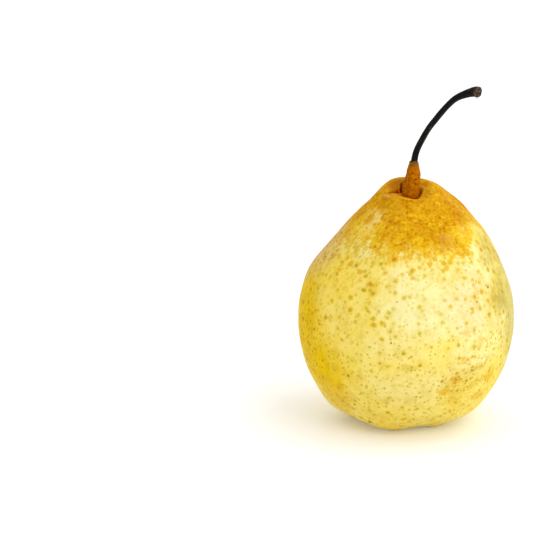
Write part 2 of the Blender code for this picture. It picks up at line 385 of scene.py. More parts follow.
def mesh_object(name, mesh, material, sharp_angle=None):
    """An object from a bmesh whose points are in millimetres, shaded smooth."""
    bmesh.ops.scale(mesh, vec=(MM, MM, MM), verts=mesh.verts)
    data = bpy.data.meshes.new(name)
    mesh.to_mesh(data)
    mesh.free()
    data.shade_smooth()
    if sharp_angle is not None:
        data.set_sharp_from_angle(angle=sharp_angle)
    return named_object(name, data, material)


def make_skin(material):
    """The fruit's skin, with everything that grows on it in relief."""
    mesh = turned(fruit_section(), SKIN_STEPS)
    warm = mesh.verts.layers.float.new("cavity_russet_and_shade")
    crease = mesh.verts.layers.float.new("crease")
    sleeve = mesh.verts.layers.float.new("sleeve")
    references = {}
    for vert in mesh.verts:
        references[vert] = vert.co.copy()
        on_top = ramp(SHOULDER_HEIGHT - 6.0, SHOULDER_HEIGHT - 4.0, vert.co.z)
        radius, angle = vert.co.xy.length, math.atan2(vert.co.y, vert.co.x)
        # the cavity's deeper orange: partly its own russet and partly painted shade, full on the sleeve, fading out
        # from the crease and reaching furthest on the left
        facing_left = hump(0.0, math.radians(150.0), angle_between(angle, math.radians(165.0)))
        reach = 1.6 + 5.2 * facing_left
        vert[warm] = on_top * (hump(CREASE_RADIUS, reach, radius) if radius > CREASE_RADIUS else 1.0)
        # painted shade: dark red in the crease, widest round the sleeve's front foot and fainter on the right, in the
        # fold up the sleeve's left side and in the furrow behind the left lip
        facing_front = hump(0.0, math.radians(100.0), angle_between(angle, math.radians(-80.0)))
        if radius > CREASE_RADIUS:
            in_crease = hump(CREASE_RADIUS, 0.26 + 1.6 * facing_front, radius)
        else:
            in_crease = hump(SHOULDER_HEIGHT - 2.4, 0.6 + 1.3 * facing_front, vert.co.z)
        in_crease *= 1.0 - 0.45 * hump(0.0, math.radians(80.0), angle_between(angle, math.radians(10.0)))
        in_front, counts = beside_furrow(vert.co)
        in_furrow = 1.0 * counts * hump(-0.25, 0.80, in_front)
        vert[crease] = on_top * max(in_crease, 0.85 * in_fold(vert.co), in_furrow)
        vert[sleeve] = on_top * (1.0 - ramp(CREASE_RADIUS - 0.12, CREASE_RADIUS + 0.12, radius))
        vert.co = grown(vert.co)
    mesh.normal_update()
    moves = {}
    for vert in mesh.verts:
        moves[vert] = vert.normal * small_forms(vert.co, references[vert])
    for vert, move in moves.items():
        reference = references[vert]
        vert.co += move
        if reference.z > SLEEVE_TOP - 1.6:
            angle = math.atan2(reference.y, reference.x)
            ragged = noise.noise(Vector((1.6 * math.cos(angle), 1.6 * math.sin(angle), 3.1)))
            vert.co.z += COLLAR_RAGGED * ragged * ramp(SLEEVE_TOP - 1.6, SLEEVE_TOP, reference.z)
        if reference.z < 20.0:
            vert.co.z = max(vert.co.z, 0.0)
    return mesh_object("pear_skin", mesh, material)


def stem_stations():
    """Points up the middle of the stem, each with the radius there, in millimetres."""
    mouth = Vector((TOP_LEAN + MOUTH_SHIFT, 0.0, SLEEVE_TOP))
    points = [(x, y, z, share * STEM_RADIUS) for (x, y, z), share in STEM_LINE]
    line = smooth_line(points, STEM_POINTS_PER_SPAN)
    return [(mouth + Vector((x, y, z)), radius) for x, y, z, radius in line]


def stem_bark_radius(angle, along, from_tip):
    """The bark's radius as a share of the stem's: ridges that run along it, knots and a rougher end."""
    ridge = noise.noise(Vector((1.9 * math.cos(angle), 1.9 * math.sin(angle), along / 9.0)))
    fine = noise.noise(Vector((5.5 * math.cos(angle), 5.5 * math.sin(angle), along / 4.0)))
    lump = noise.noise(Vector((math.cos(angle), math.sin(angle), along / 2.2 + 7.0)))
    rough_end = ramp(3.5, 0.5, from_tip) if from_tip < 3.5 else 0.0
    return 1.0 + 0.10 * ridge + (0.05 + 0.05 * rough_end) * fine + (0.04 + 0.12 * rough_end) * lump


# The stem's cut end: a rounded edge, a rim and a hollow with the pith in its middle.
# Each ring's way past the last station, and its radius as a share of the end's
CUT_END = (
    (0.22, 0.99), (0.36, 0.93), (0.40, 0.84), (0.30, 0.74),
    (0.12, 0.60), (0.10, 0.42), (0.16, 0.24), (0.14, 0.08),
)


def make_stem(material):
    """The stalk, drawn out ring by ring along its bent line, with a torn, slightly hollow cut end."""
    stations = stem_stations()
    count = len(stations)
    lengths = [0.0]
    for (before, _), (after, _) in zip(stations, stations[1:]):
        lengths.append(lengths[-1] + (after - before).length)
    total = lengths[-1]
    mesh = bmesh.new()
    straight = mesh.verts.layers.float_vector.new("straight")
    ring = bmesh.ops.create_circle(mesh, cap_ends=True, segments=STEM_STEPS, radius=1.0)["verts"]
    angles = {vert: math.atan2(vert.co.y, vert.co.x) for vert in ring}
    order = sorted(ring, key=lambda vert: angles[vert])
    turns = [angles[vert] for vert in order]
    side = Vector((0.0, -1.0, 0.0))

    def lay_ring(verts, middle, forwards, radius, along, share_of_end=1.0):
        """Sets a ring of points round the middle, square to the way that the stem runs there, slanting at the end."""
        slant = CUT_SLANT * ramp(total - CUT_REACH, total, along)
        across = (side - forwards * side.dot(forwards)).normalized()
        over = forwards.cross(across)
        for vert, turn in zip(verts, turns):
            share = stem_bark_radius(turn, along, total - along)
            vert.co = middle + (across * math.cos(turn) + over * math.sin(turn)) * radius * share
            vert.co -= forwards * slant * (0.5 + 0.5 * math.cos(turn) * share_of_end)
            vert[straight] = (math.cos(turn), math.sin(turn), along)

    def draw_on(verts):
        """Extrudes the ring's edges and returns the new ring in the same order."""
        edges = {edge for vert in verts for edge in vert.link_edges}
        inside = set(verts)
        edges = [edge for edge in edges if all(v in inside for v in edge.verts)]
        made = bmesh.ops.extrude_edge_only(mesh, edges=edges)["geom"]
        new = {part for part in made if isinstance(part, bmesh.types.BMVert)}
        following = []
        for vert in verts:
            partner = [e.other_vert(vert) for e in vert.link_edges if e.other_vert(vert) in new]
            following.append(partner[0])
        return following

    verts = order
    for index, (middle, radius) in enumerate(stations):
        before = stations[max(index - 1, 0)][0]
        after = stations[min(index + 1, count - 1)][0]
        forwards = (after - before).normalized()
        if index:
            verts = draw_on(verts)
        lay_ring(verts, middle, forwards, radius, lengths[index])
    end_middle, end_radius = stations[-1]
    for forward, share in CUT_END:
        verts = draw_on(verts)
        ring_middle = end_middle + forwards * forward
        lay_ring(verts, ring_middle, forwards, end_radius * share, total + 0.2 + (1.0 - share), share)
        for vert, turn in zip(verts, turns):
            torn = noise.noise(Vector((2.4 * math.cos(turn), 2.4 * math.sin(turn), 4.0 * share)))
            vert.co += forwards * 0.22 * torn * ramp(0.0, 0.5, share)
    bmesh.ops.contextual_create(mesh, geom=verts)
    bmesh.ops.recalc_face_normals(mesh, faces=mesh.faces)
    return mesh_object("pear_stem", mesh, material, math.radians(60.0))


def make_fibres(material):
    """Short torn fibres under the stem's cut end."""
    end, radius = stem_stations()[-1]
    before = stem_stations()[-4][0]
    forwards = (end - before).normalized()
    mesh = bmesh.new()
    for across, down, length, thick, lean in (
        (-0.5, -1.0, 1.0, 0.10, 0.5),
        (0.1, -1.05, 0.7, 0.08, -0.2),
        (0.6, -0.8, 0.55, 0.09, 0.3),
        (-0.9, -0.5, 0.45, 0.08, 0.1),
    ):
        set_back = 0.15 + 0.5 * CUT_SLANT * (1.0 - across * 0.8)
        root = end + Vector((0.0, across * radius * 0.8, down * radius * 0.86)) - forwards * set_back
        cone = bmesh.ops.create_cone(
            mesh, cap_ends=True, segments=8, radius1=thick, radius2=thick * 0.35, depth=length
        )["verts"]
        bmesh.ops.translate(mesh, vec=(0.0, 0.0, length * 0.5), verts=cone)
        for vert in cone:
            vert.co.x += lean * (vert.co.z / length) ** 2 * length * 0.5
        way = Vector((0.55 + lean * 0.3, across * 0.4, -1.0)).normalized()
        bmesh.ops.rotate(mesh, cent=(0.0, 0.0, 0.0), matrix=way.to_track_quat("Z", "Y").to_matrix(), verts=cone)
        bmesh.ops.translate(mesh, vec=root, verts=cone)
    return mesh_object("pear_stem_fibres", mesh, material)


CALYX_RING = (
    (0.0, 8.9),
    (3.0, 8.9),
    (3.3, 8.3),
    (3.25, 7.2),
    (2.95, 6.4),
    (2.55, 6.15),
    (2.2, 6.4),
    (1.7, 7.2),
    (0.9, 7.6),
    (0.0, 7.7),
)
SEPALS = 5


def make_calyx(material):
    """The dried flower: a corky ring, five withered sepals curled in over it and the stub of the style."""
    mesh = turned([Vector(p) for p in smooth_line(CALYX_RING, 5)], CALYX_STEPS)
    for vert in mesh.verts:
        angle = math.atan2(vert.co.y, vert.co.x)
        rough = noise.noise(vert.co / 0.7) * 0.10 + noise.noise(vert.co / 0.28) * 0.04
        between = 0.5 - 0.5 * math.cos(SEPALS * angle)
        low = ramp(7.2, 6.2, vert.co.z) if vert.co.z < 7.2 else 0.0
        vert.co.z += 0.35 * between * low
        vert.co += vert.co.normalized() * rough * ramp(0.3, 2.0, vert.co.xy.length)
    for number in range(SEPALS):
        blade = bmesh.ops.create_grid(mesh, x_segments=9, y_segments=22, size=1.0)["verts"]
        turn = 2.0 * math.pi * number / SEPALS
        curl = 1.9 + 0.5 * math.sin(5.0 * number + 1.0)
        for vert in blade:
            share = (vert.co.y + 1.0) / 2.0
            width = 1.25 * (1.0 - share) ** 0.75 + 0.06
            bend = curl * share
            sideways = vert.co.x * width
            reach = 2.5 * math.sin(bend) / curl
            drop = 2.5 * (1.0 - math.cos(bend)) / curl
            cup = 0.35 * vert.co.x**2 * (1.0 - share)
            wrinkle = 0.10 * noise.noise(Vector((vert.co.x * 2.2, share * 5.0, 3.0 * number)))
            vert.co = Vector((2.85 - drop - cup + wrinkle, sideways, 6.9 - reach + wrinkle))
        bmesh.ops.rotate(mesh, cent=(0.0, 0.0, 0.0), matrix=Matrix.Rotation(turn, 3, "Z"), verts=blade)
    blades = [face for face in mesh.faces if all(len(edge.link_faces) for edge in face.edges)]
    open_faces = {face for edge in mesh.edges if edge.is_boundary for face in edge.link_faces}
    loose = set(open_faces)
    growing = list(open_faces)
    while growing:
        face = growing.pop()
        for edge in face.edges:
            for other in edge.link_faces:
                if other not in loose:
                    loose.add(other)
                    growing.append(other)
    bmesh.ops.recalc_face_normals(mesh, faces=list(loose))
    bmesh.ops.solidify(mesh, geom=[face for face in blades if face in loose], thickness=0.16)
    stub = bmesh.ops.create_cone(mesh, cap_ends=True, segments=24, radius1=0.55, radius2=0.32, depth=1.6)["verts"]
    bmesh.ops.translate(mesh, vec=(0.0, 0.0, 6.95), verts=stub)
    return mesh_object("pear_calyx", mesh, material, math.radians(55.0))


# Materials

ORIGIN = (0.0, 0.0, 0.0)
PATCH, MARK, DOTS = "soft patch", "single mark", "skin dots"


def add(tree, kind, inputs=None, **settings):
    """A node of this kind, its inputs given a value or linked from another node's output."""
    node = tree.nodes.new(kind)
    for name, value in settings.items():
        setattr(node, name, value)
    for key, value in (inputs or {}).items():
        give(tree, node.inputs[key], value)
    return node


def give(tree, socket, value):
    if isinstance(value, bpy.types.NodeSocket):
        tree.links.new(value, socket)
    else:
        socket.default_value = value


def calculate(tree, operation, first, second=0.0, third=None):
    inputs = {0: first, 1: second}
    if third is not None:
        inputs[2] = third
    return add(tree, "ShaderNodeMath", inputs, operation=operation).outputs[0]


def both(tree, first, second):
    """Where two masks both are."""
    return calculate(tree, "MULTIPLY", first, second)


def vector(tree, operation, *values):
    """What a calculation with vectors gives, as a vector, or as a value for a length or a dot product."""
    node = add(tree, "ShaderNodeVectorMath", dict(enumerate(values)), operation=operation)
    return node.outputs["Value" if operation in ("LENGTH", "DOT_PRODUCT") else "Vector"]


def spread(tree, value, low, high, start=0.0, end=1.0):
    """The value's way from low to high, smoothed, as a way from start to end."""
    inputs = {"Value": value, "From Min": low, "From Max": high, "To Min": start, "To Max": end}
    return add(tree, "ShaderNodeMapRange", inputs, interpolation_type="SMOOTHSTEP").outputs[0]


def blend_colours(tree, share, first, second):
    node = add(tree, "ShaderNodeMix", data_type="RGBA")
    for socket, value in ((node.inputs[0], share), (node.inputs[6], first), (node.inputs[7], second)):
        give(tree, socket, (*value, 1.0) if isinstance(value, tuple) else value)
    return node.outputs[2]


def cloudy(tree, place, size, detail=2.0, rough=0.5):
    """Soft noise from 0 to 1 whose clouds are about this many millimetres wide."""
    inputs = {"Vector": place, "Scale": 1.0 / size, "Detail": detail, "Roughness": rough}
    return add(tree, "ShaderNodeTexNoise", inputs, noise_dimensions="3D").outputs[0]


def new_group(name, inputs, outputs):
    """An empty shader node group, its inputs named with their usual values, and the sockets inside it."""
    group = bpy.data.node_groups.new(name, "ShaderNodeTree")
    for label, value in inputs.items():
        kind = "NodeSocketVector" if isinstance(value, tuple) else "NodeSocketFloat"
        group.interface.new_socket(name=label, in_out="INPUT", socket_type=kind).default_value = value
    for label in outputs:
        group.interface.new_socket(name=label, in_out="OUTPUT", socket_type="NodeSocketFloat")
    return group, group.nodes.new("NodeGroupInput").outputs, group.nodes.new("NodeGroupOutput").inputs


def use_group(tree, name, inputs):
    return add(tree, "ShaderNodeGroup", inputs, node_tree=bpy.data.node_groups[name]).outputs


def share_of_reach(tree, start):
    """How far the place is from the middle, as a share of the reach that way."""
    away = vector(tree, "SUBTRACT", start["Place"], start["Middle"])
    return vector(tree, "LENGTH", vector(tree, "DIVIDE", away, start["Reach"]))


def make_patch_group():
    """A soft, ragged patch of the surface round a middle point."""
    inputs = {"Place": ORIGIN, "Middle": ORIGIN, "Reach": (10.0, 10.0, 10.0), "Ragged": 0.4, "Grain": 5.0}
    group, start, end = new_group(PATCH, inputs, ("Mask",))
    frequency = calculate(group, "DIVIDE", 1.0, start["Grain"])
    inputs = {"Vector": start["Place"], "Scale": frequency, "Detail": 3.0, "Roughness": 0.6}
    wander = calculate(group, "SUBTRACT", add(group, "ShaderNodeTexNoise", inputs).outputs[0], 0.5)
    edge = calculate(group, "MULTIPLY_ADD", wander, start["Ragged"], share_of_reach(group, start))
    group.links.new(spread(group, edge, 1.0, 0.35), end["Mask"])


def make_mark_group():
    """A single small soft mark whose outline is a little uneven."""
    group, start, end = new_group(MARK, {"Place": ORIGIN, "Middle": ORIGIN, "Reach": (0.5, 0.5, 0.5)}, ("Mask",))
    wander = calculate(group, "SUBTRACT", cloudy(group, start["Place"], 0.8, 1.0, 0.5), 0.5)
    edge = calculate(group, "MULTIPLY_ADD", wander, 1.2, share_of_reach(group, start))
    group.links.new(spread(group, edge, 1.25, 0.45), end["Mask"])


def make_dots_group():
    """Round dots of uneven size scattered over the surface, and a chance value for each dot."""
    inputs = {"Place": ORIGIN, "Spacing": 2.5, "Radius": 0.4, "Softness": 0.12, "Unevenness": 0.6}
    group, start, end = new_group(DOTS, inputs, ("Mask", "Chance"))
    wobble = {"Vector": start["Place"], "Scale": 0.95, "Detail": 3.0, "Roughness": 0.62}
    wobble = add(group, "ShaderNodeTexNoise", wobble).outputs["Color"]
    wobble = vector(group, "SUBTRACT", wobble, (0.5, 0.5, 0.5))
    pushed = vector(group, "MULTIPLY_ADD", wobble, (1.1, 1.1, 1.1), start["Place"])
    inputs = {"Vector": pushed, "Scale": calculate(group, "DIVIDE", 1.0, start["Spacing"])}
    cells = add(group, "ShaderNodeTexVoronoi", inputs, voronoi_dimensions="3D", feature="F1").outputs
    away = calculate(group, "MULTIPLY", cells["Distance"], start["Spacing"])
    chance = add(group, "ShaderNodeSeparateColor", {0: cells["Color"]}).outputs[0]
    centred = calculate(group, "SUBTRACT", chance, 0.5)
    uneven = calculate(group, "MULTIPLY_ADD", centred, start["Unevenness"], 1.0)
    radius = calculate(group, "MULTIPLY", start["Radius"], uneven)
    inner = calculate(group, "SUBTRACT", radius, start["Softness"])
    outer = calculate(group, "ADD", radius, start["Softness"])
    group.links.new(spread(group, away, outer, inner), end["Mask"])
    group.links.new(chance, end["Chance"])


def patched(tree, place, middle, reach, ragged, grain):
    inputs = {"Place": place, "Middle": middle, "Reach": reach, "Ragged": ragged, "Grain": grain}
    return use_group(tree, PATCH, inputs)["Mask"]


def dotted(tree, place, spacing, radius, softness, unevenness):
    """Where the dots of one scatter are, and the chance value of each."""
    inputs = {"Place": place, "Spacing": spacing, "Radius": radius, "Softness": softness, "Unevenness": unevenness}
    outputs = use_group(tree, DOTS, inputs)
    return outputs["Mask"], outputs["Chance"]


def new_material(name):
    material = bpy.data.materials.new(name)
    material.use_nodes = True
    tree = material.node_tree
    return material, tree, tree.nodes["Principled BSDF"].inputs


def place_in_mm(tree):
    return times(tree, add(tree, "ShaderNodeTexCoord").outputs["Object"], (1000.0, 1000.0, 1000.0))


def attribute(tree, name, output="Fac"):
    return add(tree, "ShaderNodeAttribute", attribute_name=name, attribute_type="GEOMETRY").outputs[output]


def shifted(tree, place, away):
    return vector(tree, "ADD", place, away)


def times(tree, place, shares):
    return vector(tree, "MULTIPLY", place, shares)


def overlay(tree, colour, mask, share, tint):
    """The colour with this share of another laid over it where the mask is."""
    return blend_colours(tree, both(tree, mask, share), colour, tint)


def tinted(tree, colour, mask, share, tint):
    """The colour darkened by a tint, with this share of it where the mask is."""
    return blend_colours(tree, both(tree, mask, share), colour, times(tree, colour, tint))


def relief(tree, shader, height, strength, distance):
    bump = add(tree, "ShaderNodeBump", {"Height": height, "Strength": strength, "Distance": distance})
    tree.links.new(bump.outputs[0], shader["Normal"])


# Colours of the skin, linear
YELLOW = (0.87, 0.665, 0.105)
PALE_YELLOW = (0.88, 0.725, 0.19)
# Pale cream: partly the skin's own paler tone and partly a painted highlight where the soft key light falls on the
# front
CREAM_AND_HIGHLIGHT = (0.87, 0.785, 0.38)
# Deep yellow of the left cheek: partly the skin's own colour and partly painted reflection of yellow light bounced
# onto the left side
DEEP_YELLOW_AND_REFLECTION = (0.82, 0.545, 0.0)
OLIVE_YELLOW = (0.67, 0.545, 0.14)
TAN_YELLOW = (0.78, 0.52, 0.05)
GOLD = (0.615, 0.288, 0.0)
PALE_GOLD = (0.80, 0.52, 0.016)
STREAK_CREAM = (0.82, 0.64, 0.17)
BAND_TAN = (0.60, 0.33, 0.05)
DARK_STREAK = (0.60, 0.265, 0.0)
BRUISE = (0.62, 0.315, 0.07)
# Deeper orange of the cavity: partly its own russet and partly painted shade of the recess
CAVITY_ORANGE_AND_SHADE = (0.345, 0.105, 0.0)
# Dark red painted shade in the cavity's crease
CREASE_SHADE_RED = (0.38, 0.035, 0.003)
SLEEVE_ORANGE = (0.36, 0.09, 0.0)
SLEEVE_LIGHT = (0.50, 0.18, 0.0)
SLEEVE_TIP = (0.10, 0.072, 0.012)
BASIN_BROWN = (0.42, 0.22, 0.05)

# Tints that darken what they lie on, as shares of its red, green and blue
OLIVE_TINT = (0.66, 0.59, 0.14)
OCHRE_TINT = (0.73, 0.65, 0.12)
ORANGE_TINT = (0.83, 0.56, 0.06)
BROWN_TINT = (0.58, 0.44, 0.16)
SMEAR_TINT = (0.84, 0.79, 0.62)
TAN_TINT = (0.86, 0.75, 0.42)
EDGE_TAN_TINT = (0.84, 0.78, 0.50)
RING_TINT = (0.88, 0.70, 0.22)
# Painted shade toward the right edge
RIGHT_EDGE_PAINTED_SHADE = (0.86, 0.89, 1.06)
RIGHT_CHEEK_TINT = (0.98, 0.91, 0.97)
# Painted shade over the low front
LOW_PAINTED_SHADE = (0.93, 0.93, 0.97)
RIGHT_STRIP_TINT = (0.88, 0.88, 0.86)
# Painted light on the left body
LEFT_PAINTED_LIGHT = (1.05, 1.04, 1.04)
BLACK_TINT = (0.10, 0.07, 0.05)
HALO_TINT = (0.96, 0.93, 0.62)

# Patches of the ground: colour, share, middle, reach, raggedness and grain
GROUND_PATCHES = (
    # deep yellow on the left: partly the skin's own colour, partly painted reflection of bounced yellow light
    (DEEP_YELLOW_AND_REFLECTION, 1.00, (-38.0, -5.0, 38.0), (17.0, 28.0, 28.0), 0.5, 9.0),
    (DEEP_YELLOW_AND_REFLECTION, 1.00, (-32.0, -19.0, 20.0), (18.0, 18.0, 18.0), 0.6, 7.0),
    (TAN_YELLOW, 0.70, (-27.0, -20.0, 12.0), (14.0, 13.0, 10.0), 0.6, 6.0),
    (OLIVE_YELLOW, 0.80, (36.0, 0.0, 42.0), (12.0, 36.0, 32.0), 0.9, 7.0),
    # cream on the front: partly the skin's paler tone, partly a painted highlight of the soft key light
    (CREAM_AND_HIGHLIGHT, 1.00, (3.0, -35.0, 50.0), (19.0, 14.0, 17.0), 0.7, 8.0),
    (CREAM_AND_HIGHLIGHT, 0.90, (16.0, -29.0, 46.0), (14.0, 14.0, 15.0), 0.7, 7.0),
    (CREAM_AND_HIGHLIGHT, 0.60, (20.0, -30.0, 32.0), (13.0, 14.0, 12.0), 0.7, 6.0),
    (CREAM_AND_HIGHLIGHT, 0.85, (21.0, -21.0, 58.0), (11.0, 14.0, 13.0), 0.9, 5.0),
    (CREAM_AND_HIGHLIGHT, 0.50, (27.0, -22.0, 40.0), (9.0, 12.0, 13.0), 0.9, 5.0),
    (CREAM_AND_HIGHLIGHT, 0.45, (-6.0, -35.0, 36.0), (14.0, 12.0, 9.0), 0.8, 6.0),
    (CREAM_AND_HIGHLIGHT, 0.35, (0.0, -35.0, 21.0), (20.0, 12.0, 11.0), 0.8, 6.0),
    (CREAM_AND_HIGHLIGHT, 0.60, (-16.5, -18.0, 65.0), (7.0, 8.0, 5.0), 0.9, 4.0),
    (CREAM_AND_HIGHLIGHT, 0.60, (2.0, -28.0, 61.0), (17.0, 10.0, 8.0), 0.8, 5.0),
    (OLIVE_YELLOW, 0.75, (27.0, -7.0, 64.0), (8.0, 15.0, 15.0), 0.8, 4.0),
)

# Stains over the ground, and painted light and shade: tint, share, middle, reach, raggedness and grain
STAINS_AND_PAINTED_LIGHT_AND_SHADE = (
    # painted shade over the low front
    (LOW_PAINTED_SHADE, 1.00, (8.0, -30.0, 16.0), (34.0, 22.0, 22.0), 0.5, 8.0),
    # painted light on the left body
    (LEFT_PAINTED_LIGHT, 1.00, (-25.0, -24.0, 46.0), (14.0, 14.0, 18.0), 0.5, 7.0),
    # painted shade toward the right edge
    (RIGHT_EDGE_PAINTED_SHADE, 1.00, (35.0, 0.0, 43.0), (14.5, 38.0, 35.0), 0.7, 6.0),
    (RIGHT_CHEEK_TINT, 1.00, (20.0, -29.0, 50.0), (15.0, 14.0, 18.0), 0.7, 6.0),
    (EDGE_TAN_TINT, 0.85, (27.0, -21.0, 48.5), (2.2, 5.0, 8.0), 1.8, 2.0),
    (EDGE_TAN_TINT, 0.70, (29.0, -21.5, 45.0), (2.4, 5.0, 7.0), 1.9, 1.7),
    (SMEAR_TINT, 0.80, (30.0, -19.0, 47.0), (3.0, 5.0, 5.0), 1.6, 2.4),
    (RIGHT_STRIP_TINT, 0.95, (29.0, -18.5, 51.0), (5.5, 10.0, 15.0), 0.9, 3.5),
    (RIGHT_STRIP_TINT, 0.95, (24.8, -13.0, 64.0), (5.0, 10.0, 10.0), 0.9, 3.0),
    (TAN_TINT, 0.60, (23.5, -19.0, 60.5), (1.8, 4.0, 5.0), 1.1, 2.5),
    (TAN_TINT, 0.50, (21.5, -28.0, 50.0), (1.4, 4.0, 6.0), 1.1, 2.5),
    (RING_TINT, 0.70, (17.2, -32.0, 30.0), (3.6, 4.0, 2.0), 1.8, 1.5),
    (RING_TINT, 0.62, (22.6, -28.4, 26.6), (4.4, 4.0, 2.0), 1.8, 1.5),
    (RING_TINT, 0.75, (26.5, -23.3, 22.5), (3.0, 4.5, 5.0), 1.8, 1.5),
    (RING_TINT, 0.85, (22.5, -22.0, 14.8), (5.2, 4.5, 2.4), 1.8, 1.5),
    (RING_TINT, 0.95, (11.0, -32.2, 19.2), (3.8, 4.0, 2.4), 1.8, 1.5),
    (RING_TINT, 0.80, (14.2, -32.0, 23.5), (3.0, 4.0, 3.0), 1.8, 1.5),
    (TAN_TINT, 0.60, (17.5, -33.0, 39.6), (3.2, 4.0, 1.2), 1.2, 2.0),
    (TAN_TINT, 0.70, (22.8, -30.0, 36.0), (1.6, 4.0, 3.4), 1.2, 2.0),
    (TAN_TINT, 0.45, (17.0, -32.0, 22.0), (9.0, 8.0, 8.5), 1.1, 3.0),
    (SMEAR_TINT, 0.75, (-2.2, -36.6, 28.4), (4.6, 4.0, 2.0), 1.5, 2.8),
    (SMEAR_TINT, 0.55, (-0.7, -33.0, 16.7), (3.4, 4.0, 2.2), 1.2, 2.2),
    (SMEAR_TINT, 0.50, (-8.3, -31.6, 15.5), (1.6, 4.0, 2.4), 1.2, 2.2),
    (TAN_TINT, 0.70, (-23.8, -23.5, 18.0), (2.2, 4.0, 2.6), 1.2, 2.0),
    (TAN_TINT, 0.55, (-19.5, -25.8, 15.2), (2.6, 4.0, 2.4), 1.2, 2.0),
    (TAN_TINT, 0.40, (-17.1, -31.3, 23.5), (3.4, 4.0, 2.4), 1.2, 2.5),
    (TAN_TINT, 0.45, (-13.0, -30.5, 54.5), (3.6, 5.0, 5.5), 1.2, 2.4),
    (TAN_TINT, 0.40, (-7.0, -31.5, 56.0), (2.4, 5.0, 5.5), 1.2, 2.4),
)

# Single marks seen one by one: tint, share, middle and size
MARKS = (
    (ORANGE_TINT, 0.95, (-24.9, -18.2, 56.1), (0.75, 2.0, 0.70)),
    (ORANGE_TINT, 0.95, (5.6, -28.0, 61.6), (0.95, 2.0, 0.75)),
    (ORANGE_TINT, 0.80, (-6.3, -26.5, 63.3), (0.80, 2.0, 0.75)),
    (ORANGE_TINT, 0.75, (-15.0, -32.6, 47.0), (0.60, 2.0, 0.55)),
    (ORANGE_TINT, 0.70, (-11.5, -34.0, 47.4), (0.65, 2.0, 0.55)),
    (ORANGE_TINT, 0.80, (-9.5, -35.7, 43.1), (0.50, 2.0, 1.10)),
    (ORANGE_TINT, 0.80, (-22.5, -29.1, 38.5), (0.45, 2.0, 0.45)),
    (ORANGE_TINT, 0.80, (-23.4, -28.4, 35.9), (0.55, 2.0, 0.60)),
    (OCHRE_TINT, 0.85, (-16.3, -29.3, 53.4), (0.95, 2.0, 0.70)),
    (OCHRE_TINT, 0.80, (-13.7, -29.6, 55.2), (1.05, 2.0, 0.85)),
    (BLACK_TINT, 0.90, (-7.5, -36.8, 37.2), (0.33, 1.0, 0.33)),
    (BLACK_TINT, 0.85, (25.5, -22.4, 52.6), (0.33, 1.0, 0.35)),
    (BLACK_TINT, 0.70, (21.4, -28.1, 48.9), (0.36, 1.0, 0.33)),
    (BLACK_TINT, 0.65, (-5.6, -34.4, 50.6), (0.30, 1.0, 0.28)),
    (BLACK_TINT, 0.60, (-9.4, -20.3, 68.3), (0.30, 1.0, 0.28)),
    (BLACK_TINT, 0.50, (17.8, -25.0, 59.1), (0.28, 1.0, 0.26)),
    # painted shade in the notch between the base's lobes
    (BLACK_TINT, 0.80, (-13.2, -20.6, 4.3), (1.1, 4.0, 0.50)),
)

# Where dots crowd together: middle, reach, raggedness and grain, low on the right and on the left
CROWDS = (
    ((19.0, -29.0, 23.0), (15.0, 13.0, 13.0), 0.7, 4.0),
    ((-34.0, -14.0, 32.0), (14.0, 17.0, 25.0), 0.7, 4.0),
)
DOT_SPACING = 2.6
HALO_WIDTH = 0.45

# Where the russet comes lower down, or stays higher up: by how much, middle, reach, raggedness and grain
EDGE_RISES = (
    (1.6, (9.0, -24.0, 63.0), (9.0, 12.0, 12.0), 0.9, 3.5),
    (1.5, (-7.0, -25.0, 64.0), (7.0, 12.0, 9.0), 0.9, 3.5),
    (-3.0, (-15.0, -12.0, 69.0), (9.0, 10.0, 8.0), 0.9, 3.5),
    (-7.0, (25.0, -11.0, 66.0), (9.0, 14.0, 11.0), 0.9, 3.5),
)

# Where streaks of cream run down the shoulders: share, middle and reach, and where darker ones do: middle and reach
CREAM_STREAKS = (
    (0.80, (-13.0, -10.0, 71.5), (8.5, 8.0, 8.5)),
    (0.55, (-24.0, -7.0, 64.0), (9.0, 9.0, 8.0)),
    (0.70, (18.5, -14.0, 69.5), (5.5, 8.0, 5.5)),
    (0.45, (23.5, -6.0, 69.5), (5.0, 8.0, 8.0)),
    (0.30, (0.0, -26.5, 65.0), (13.0, 7.0, 3.6)),
)
DARK_STREAKS = (((-10.2, -6.4, 77.2), (3.2, 3.4, 2.8)), ((-14.2, -8.7, 72.9), (3.0, 3.4, 2.8)))


def down_the_slope(tree, place):
    """A place whose patterns run as streaks from the stem outwards and down."""
    across = times(tree, shifted(tree, place, (-1.2, 0.0, 0.0)), (1.0, 1.0, 0.0))
    round_about = times(tree, vector(tree, "NORMALIZE", across), (30.0, 30.0, 0.0))
    return vector(tree, "MULTIPLY_ADD", place, (0.0, 0.0, 0.14), round_about)


def lay_ground(tree, place, slope):
    """The ground colour of the skin: broad clouds, warm and pale cheeks, a faint mottle and faint streaks."""
    broad = cloudy(tree, place, 12.0, 3.0, 0.55)
    colour = blend_colours(tree, spread(tree, broad, 0.35, 0.65), YELLOW, PALE_YELLOW)
    # the deep yellow patches are partly painted reflection and the cream ones partly a painted highlight
    for tint, share, *where in GROUND_PATCHES:
        colour = overlay(tree, colour, patched(tree, place, *where), share, tint)
    clouds = cloudy(tree, place, 4.5, 4.0, 0.62)
    colour = tinted(tree, colour, spread(tree, clouds, 0.46, 0.66), 0.90, (0.91, 0.885, 0.70))
    colour = tinted(tree, colour, spread(tree, clouds, 0.46, 0.26), 0.60, (1.04, 1.05, 1.22))
    streaks = cloudy(tree, slope, 2.6, 4.0, 0.62)
    colour = tinted(tree, colour, spread(tree, streaks, 0.50, 0.72), 0.70, (0.94, 0.91, 0.74))
    mottle = cloudy(tree, place, 1.25, 4.0, 0.65)
    colour = tinted(tree, colour, spread(tree, mottle, 0.48, 0.72), 0.80, (0.92, 0.90, 0.72))
    return tinted(tree, colour, spread(tree, mottle, 0.50, 0.28), 0.70, (1.04, 1.05, 1.20))


